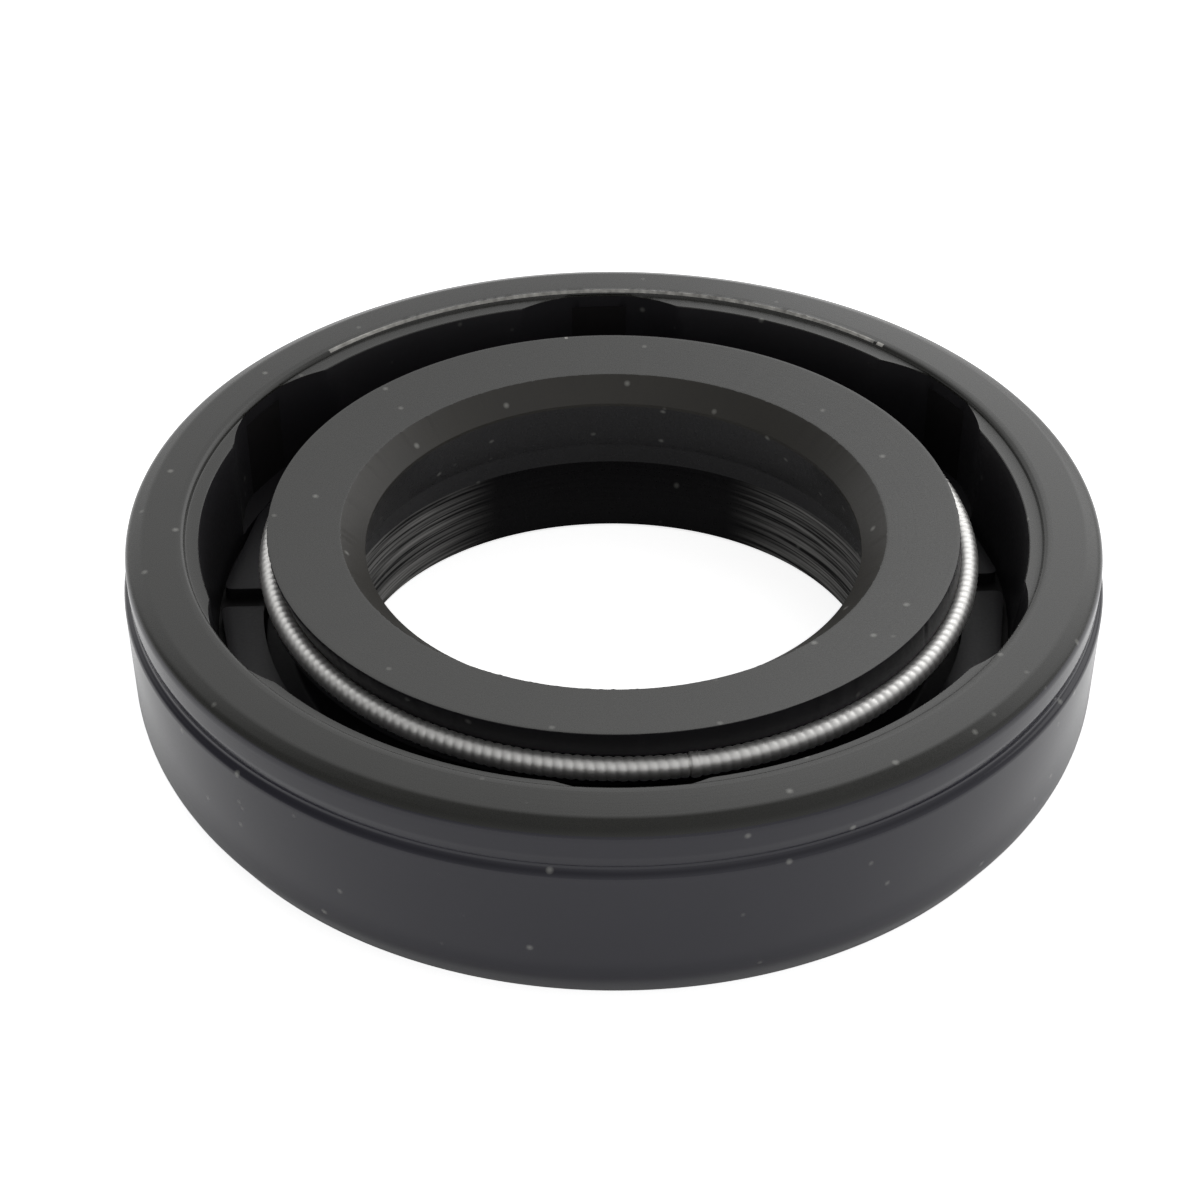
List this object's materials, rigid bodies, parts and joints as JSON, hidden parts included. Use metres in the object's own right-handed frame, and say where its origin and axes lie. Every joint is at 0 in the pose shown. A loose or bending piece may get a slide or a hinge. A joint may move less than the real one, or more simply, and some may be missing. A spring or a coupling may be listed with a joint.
{
  "type": "radial shaft seal",
  "caption": "Rubber-covered rotary shaft seal: a ring with a steel case inside, an oil lip held in by a garter spring, a dust lip and a press-fit outside.",
  "frame": {"origin": "middle of the back face, on the shaft's centre line", "axes": "+Z along the shaft's centre line, from the back face with the dust lip to the spring side"},
  "size_m": [0.047, 0.047, 0.0101],
  "materials": {
    "rubber": "matt black nitrile rubber",
    "case_steel": "dull steel strip, darkened by the bonding coat",
    "spring_wire": "drawn spring wire, bright"
  },
  "bodies": {
    "root": {"rubber_body": "rubber", "steel_case": "case_steel", "garter_spring": "spring_wire"}
  },
  "joints": []
}
